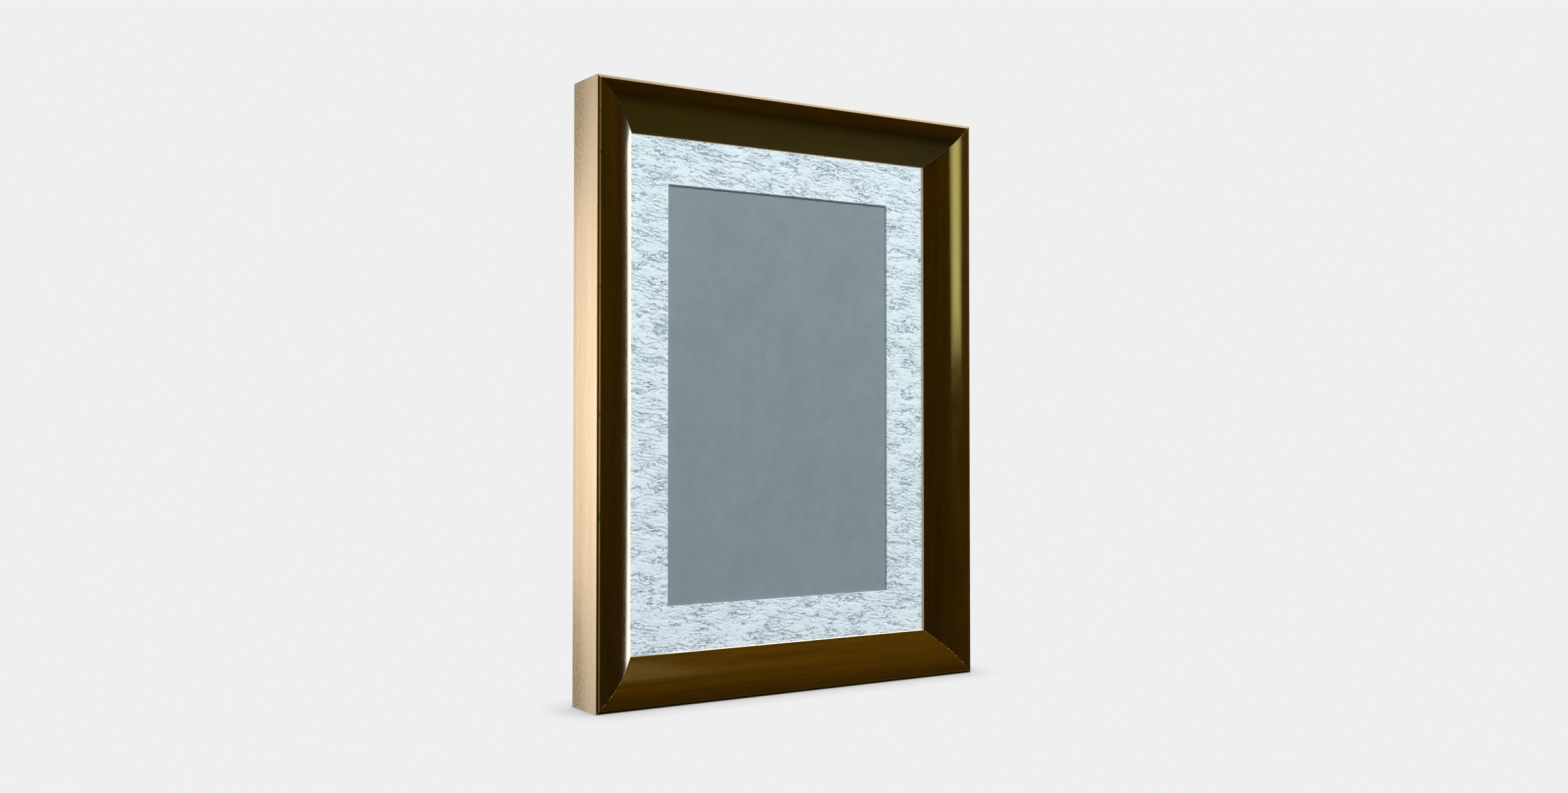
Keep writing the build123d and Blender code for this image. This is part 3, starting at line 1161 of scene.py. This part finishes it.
@dataclass
class BackingBoard:
    """The pressed board that closes the back, with lightly sanded edges."""

    low: Vector
    high: Vector
    ease: float = 0.35 * MM

    def build(self, materials: list[Material]) -> Piece:
        """Build the board.

        Args:
            materials: The pressed board.

        Returns:
            The finished piece.
        """
        bm = bmesh.new()
        size = self.high - self.low
        middle = (self.high + self.low) / 2
        place = Matrix.Translation(middle) @ Matrix.Diagonal((*size, 1))
        bmesh.ops.create_cube(bm, size=1, matrix=place)
        bevel(bm, bm.edges[:], self.ease, 2)
        return finish_piece(bm, "backing_board_sanded", materials, 30.0)


# ---- studio


@dataclass
class Lamp:
    """A soft box: where it stands, what it points at, and which pieces it lights.

    A lamp with names in only lights just those and is shaded by them alone, or by nothing
    where it is unshaded. A lamp with names in but lights all other pieces. A mirrored lamp
    gives reflections and no other light.
    """

    name: str
    place: Triple
    aim: Triple
    size: tuple[float, float]
    power: float
    colour: Triple = (1.0, 1.0, 1.0)
    mirrored: bool = False
    only: tuple[str, ...] = ()
    but: tuple[str, ...] = ()
    unshaded: bool = False

    def hang(self) -> None:
        """Make the lamp."""
        data = bpy.data.lights.new(self.name, "AREA")
        data.shape = "RECTANGLE"
        data.size, data.size_y = self.size
        data.energy = self.power
        data.color = self.colour
        lamp = bpy.data.objects.new(self.name, data)
        lamp.location = self.place
        away = Vector(self.place) - Vector(self.aim)
        lamp.rotation_euler = away.to_track_quat("Z", "Y").to_euler()
        lamp.visible_camera = False
        lamp.visible_diffuse = not self.mirrored
        lamp.visible_glossy = self.mirrored
        bpy.context.scene.collection.objects.link(lamp)
        linking = lamp.light_linking
        if self.only:
            linking.receiver_collection = self.group(self.only, "INCLUDE")
            shading = ("studio_floor",) if self.unshaded else self.only
            linking.blocker_collection = self.group(shading, "INCLUDE")
        elif self.but:
            linking.receiver_collection = self.group(self.but, "EXCLUDE")

    def group(self, names: tuple[str, ...], state: str) -> bpy.types.Collection:
        """Collect pieces that a lamp takes in or leaves out.

        Args:
            names: Names of the pieces.
            state: INCLUDE or EXCLUDE.

        Returns:
            The collection.
        """
        made = bpy.data.collections.new(f"{self.name}_pieces")
        for name in names:
            made.objects.link(bpy.data.objects[name])
        for member in made.collection_objects:
            member.light_linking.link_state = state
        return made


@dataclass
class Studio:
    """A pale seamless studio: floor, surroundings, lamps and the camera."""

    backdrop: Colour = screen(240, 239, 240)
    contact_shade: Colour = (0.22, 0.215, 0.215, 1.0)
    floor_half: float = 30.0
    floor_gap: float = 0.2 * MM
    contact: float = 0.036
    camera_place: Triple = (-0.69334, -1.07345, 0.22165)
    camera_turn: Triple = (math.pi / 2 + 0.021492, 0.0, -0.574036)
    lens: float = 34.20
    sensor: float = 36.0
    front_boxes: tuple[Triple, ...] = ((2.3, 1.7, 44.0), (1.6, 1.5, 26.0), (0.9, 1.3, 9.0))

    def build(self) -> None:
        """Set the whole studio up."""
        bpy.context.scene.view_settings.view_transform = "Standard"
        self.lay_floor()
        self.surround()
        for lamp in self.lamps():
            lamp.hang()
        self.set_camera()

    def lay_floor(self) -> None:
        """Lay a pale floor that shades softly only where the frame stands on it."""
        bm = bmesh.new()
        bmesh.ops.create_grid(bm, x_segments=1, y_segments=1, size=self.floor_half)
        bmesh.ops.translate(bm, verts=bm.verts[:], vec=(0, 0, -self.floor_gap))
        g = Graph.of_material("studio_floor")
        reach = {"Distance": self.contact}
        opened = g.add("ShaderNodeAmbientOcclusion", reach, samples=16).outputs["AO"]
        colour = g.mix(g.maths("POWER", opened, 0.85), self.contact_shade, self.backdrop)
        glow = g.add("ShaderNodeEmission", {"Color": colour, "Strength": 1.0})
        g.add("ShaderNodeOutputMaterial", {"Surface": glow.outputs[0]})
        floor = finish_piece(bm, "studio_floor", [g.owner])
        floor.visible_diffuse = False
        floor.visible_glossy = False
        floor.visible_transmission = False
        floor.visible_shadow = False
        floor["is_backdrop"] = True

    def surround(self) -> None:
        """Light the room: dim in front, bright behind, and an even pale backdrop."""
        world = bpy.data.worlds.new("studio")
        bpy.context.scene.world = world
        world.cycles.sampling_method = "NONE"
        g = Graph(world)

        def band(value: Socket, low: float, high: float, colours: tuple) -> Socket:
            """A smooth change between two colours along a direction."""
            return g.mix(g.span(value, low, high, UNIT), *colours)

        toward = g.add("ShaderNodeTexCoord").outputs["Generated"]
        _, back, up = g.add("ShaderNodeSeparateXYZ", {0: toward}).outputs
        low_room = band(up, -0.35, 0.1, ((0.24, 0.235, 0.22, 1), (0.10, 0.10, 0.11, 1)))
        fill = band(back, 0.0, 0.5, (low_room, (0.75, 0.74, 0.73, 1)))
        floor_shine = band(up, -0.9, -0.3, ((0.5, 0.42, 0.2, 1), (0.02, 0.018, 0.01, 1)))
        rear = band(up, -0.2, 0.7, ((0.22, 0.21, 0.20, 1), (0.95, 0.94, 0.92, 1)))
        shine = band(back, 0.52, 0.62, (floor_shine, rear))
        path = g.add("ShaderNodeLightPath").outputs
        light = g.mix(path["Is Glossy Ray"], fill, shine)
        light = g.mix(path["Is Camera Ray"], light, self.backdrop)
        sky = g.add("ShaderNodeBackground", {"Color": light, "Strength": 1.0})
        g.add("ShaderNodeOutputWorld", {"Surface": sky.outputs[0]})

    def lamps(self) -> list[Lamp]:
        """The lamps of the studio."""
        foot, middle = (0.0, 0.0, 0.0), (0.0, 0.0, 0.25)
        left_edge, left_side = (-0.17, 0.0, 0.25), (-0.19, -0.01, 0.25)
        by_side, behind = (-0.46, -0.13, 0.25), (0.92, 1.17, 0.25)
        over_sill, in_front = (0.15, -0.45, 1.9), (-0.1, -2.36, 1.31)
        white, cream, warm = (1.0, 0.99, 0.98), (1.0, 0.96, 0.91), (1.0, 0.93, 0.86)
        yellow, gold = (1.0, 0.98, 0.90), (1.0, 0.90, 0.73)
        paper = ("window_mat_relief", "art_panel")
        rails = tuple(f"{side.node}_timber" for side in Side)
        bottom, _, left, right = ((rail,) for rail in rails)
        boxes = [
            Lamp("key_box", (0.62, -1.05, 2.1), middle, (0.9, 0.9), 60.0, white, but=paper),
            Lamp("paper_box", (0.7, -3.8, 3.5), middle, (1.4, 1.4), 278.0, only=paper),
            Lamp("side_strip", by_side, left_side, (0.10, 0.26), 1.0, cream, only=left),
            Lamp("sill_box", over_sill, foot, (0.5, 0.4), 60.0, warm, only=bottom),
            Lamp("sill_sheen", over_sill, foot, (0.9, 0.7), 1.6, warm, mirrored=True, only=bottom),
            Lamp("window", behind, left_edge, (0.74, 1.2), 10.0, gold,
                 mirrored=True, only=rails, unshaded=True),
            Lamp("right_fill", (-0.4, -1.9, 0.1), (0.17, 0.0, 0.15), (0.8, 0.5), 17.0, only=right),
        ]
        for step, (wide, tall, power) in enumerate(self.front_boxes):
            boxes.append(
                Lamp(f"front_box_{step}", in_front, middle, (wide, tall), power, yellow,
                     mirrored=True, only=right)
            )
        return boxes

    def set_camera(self) -> None:
        """Stand the camera in front and to the left of the frame."""
        data = bpy.data.cameras.new("camera")
        data.lens = self.lens
        data.sensor_width = self.sensor
        camera = bpy.data.objects.new("camera", data)
        camera.location = self.camera_place
        camera.rotation_euler = self.camera_turn
        bpy.context.scene.collection.objects.link(camera)
        bpy.context.scene.camera = camera


# ---- the whole frame


@dataclass
class DisplayFrame:
    """The frame: replaces the shaped nodes with finer pieces and dresses the others."""

    loaded: dict
    mat_overlap: float = 10.0 * MM

    def build_rails(self) -> None:
        """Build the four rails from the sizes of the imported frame."""
        # A lighter stain, used as a painted highlight on the side rails' shoulders.
        light_stain = StainedTimber(
            name="rubbed_timber",
            low=(0.150, 0.112, 0.036, 1.0),
            body=(0.190, 0.145, 0.050, 1.0),
            glow=(0.235, 0.182, 0.068, 1.0),
        )
        skins = [StainedTimber().make(), BareMaple().make(), WornArris().make(), light_stain.make()]
        low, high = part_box("rail_left")[0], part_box("rail_right")[1]
        section = Moulding()
        y_land = low.y + section.crown
        for side in Side:
            rail = Rail(side, high.x - low.x, high.z - low.z, y_land, section)
            stand_for(rail.build(skins), side.node)

    def build_mat(self) -> None:
        """Build the mat round the window that shows the sheet."""
        low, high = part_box("window_mat")
        sheet_low, sheet_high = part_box("art_panel")
        mat = WindowMat(
            width=high.x - low.x,
            height=high.z - low.z,
            window_w=sheet_high.x - sheet_low.x - 2 * self.mat_overlap,
            window_h=sheet_high.z - sheet_low.z - 2 * self.mat_overlap,
            y_front=low.y,
            y_back=high.y,
            mid_z=(low.z + high.z) / 2,
        )
        stand_for(mat.build([StonePaper().make()]), "window_mat")

    def build_buttons(self) -> None:
        """Build a turn button on each of the eight screws."""
        steel = Metal("plated_steel", (0.48, 0.47, 0.43, 1), (0.74, 0.73, 0.69, 1)).make()
        for joint in self.loaded["joints"]:
            node = joint["child"]
            if not node.startswith("turn_button"):
                continue
            low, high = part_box(node)
            pivot = Vector(joint["pos_m"])
            tip = (low + high) / 2 - pivot
            turn = math.atan2(tip.z, tip.x)
            button = TurnButton(node, pivot, turn, low.y)
            stand_for(button.build([steel]), node, node)
        for side in ("left", "right"):
            self.dress(f"hanger_strap_{side}", steel)

    def build_backing(self) -> None:
        """Build the backing board."""
        low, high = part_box("backing_board")
        stock = BoardStock("backing_board", screen(112, 82, 52), screen(156, 120, 80), 200.0)
        board = BackingBoard(low, high).build([stock.make()])
        stand_for(board, "backing_board")

    def dress(self, node: str, material: Material) -> None:
        """Give a CAD node that stays its finish.

        Args:
            node: Name of the CAD node.
            material: Its material.
        """
        piece = self.loaded["nodes"][node]
        piece.data.materials.clear()
        piece.data.materials.append(material)
        log.info("%s: dressed in %s", node, material.name)

    def dress_rest(self) -> None:
        """Dress the CAD nodes whose shape is right as it is."""
        white = BoardStock("mount_board", screen(226, 222, 210), screen(238, 235, 226), 500.0)
        foam = BoardStock("foam_board", screen(228, 228, 224), screen(243, 243, 240), 420.0)
        hinge = BoardStock("hinge_paper", screen(232, 226, 208), screen(244, 240, 228), 900.0)
        tape = Woven("linen_tape", screen(196, 188, 168), screen(228, 222, 206))
        felt = Woven("felt", screen(34, 34, 36), screen(66, 66, 70), 1500.0)
        block = Rubber("block_rubber", screen(26, 26, 27), screen(52, 52, 54))
        bumper = Rubber("bumper_rubber", screen(40, 40, 41), screen(72, 72, 74), 0.5)
        screw = Metal("screw_steel", (0.40, 0.38, 0.33, 1), (0.68, 0.65, 0.56, 1))
        nail = Metal("nail_steel", (0.30, 0.29, 0.28, 1), (0.55, 0.54, 0.52, 1), (0.35, 0.55))
        nickel = Metal("ring_nickel", (0.60, 0.58, 0.54, 1), (0.82, 0.80, 0.76, 1), (0.16, 0.28))
        finishes = (
            (ClearGlass(), "glazing"),
            (CloudedSheet(), "art_panel"),
            (white, "mount_board"),
            (foam, "foam_board_front", "foam_board_rear"),
            (hinge, "art_hinges"),
            (tape, "mat_hinge_tape"),
            (felt, "rebate_felt"),
            (block, "setting_blocks"),
            (bumper, "wall_bumpers"),
            (nail, "corner_v_nails"),
            (screw, "turn_button_screws", "hanger_screws"),
            (nickel, "hanger_ring_left", "hanger_ring_right"),
        )
        for finish, *nodes in finishes:
            material = finish.make()
            for node in nodes:
                self.dress(node, material)

    def open_reflections(self) -> None:
        """Let the varnish mirror the open room only, never its neighbours."""
        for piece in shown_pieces():
            piece.visible_glossy = False


def main() -> None:
    """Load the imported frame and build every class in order."""
    logging.basicConfig(level=logging.INFO, format="%(name)s %(message)s")
    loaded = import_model()
    frame = DisplayFrame(loaded)
    frame.build_rails()
    frame.build_mat()
    frame.build_buttons()
    frame.build_backing()
    frame.dress_rest()
    frame.open_reflections()
    Studio().build()


if __name__ == "__main__":
    main()
